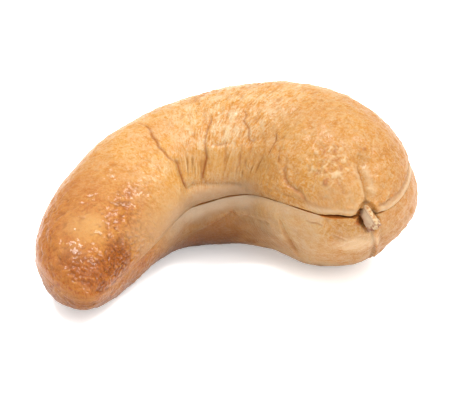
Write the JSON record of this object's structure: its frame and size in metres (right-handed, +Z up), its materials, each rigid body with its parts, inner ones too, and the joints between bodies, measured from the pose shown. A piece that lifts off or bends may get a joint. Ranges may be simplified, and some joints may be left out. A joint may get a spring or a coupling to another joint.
{
  "type": "cashew nut",
  "caption": "Peeled whole cashew kernel, bent like a kidney: an upper and a lower seed leaf that meet in a seam, with a root tip stub between them.",
  "frame": {"origin": "bottom centre of the bounding box, on the surface that the kernel lies on", "axes": "+X along the kernel's length towards the thick head, +Y towards its convex back, +Z up through both halves"},
  "size_m": [0.027, 0.0183, 0.0124],
  "materials": {
    "upper_seed_leaf": "light orange tan, satin, finely wrinkled",
    "lower_seed_leaf": "tan, satin, finely wrinkled",
    "root_tip": "greyish tan, matt, rough at the broken end"
  },
  "bodies": {
    "root": {"upper_cotyledon": "upper_seed_leaf", "lower_cotyledon": "lower_seed_leaf", "radicle": "root_tip"}
  },
  "joints": []
}
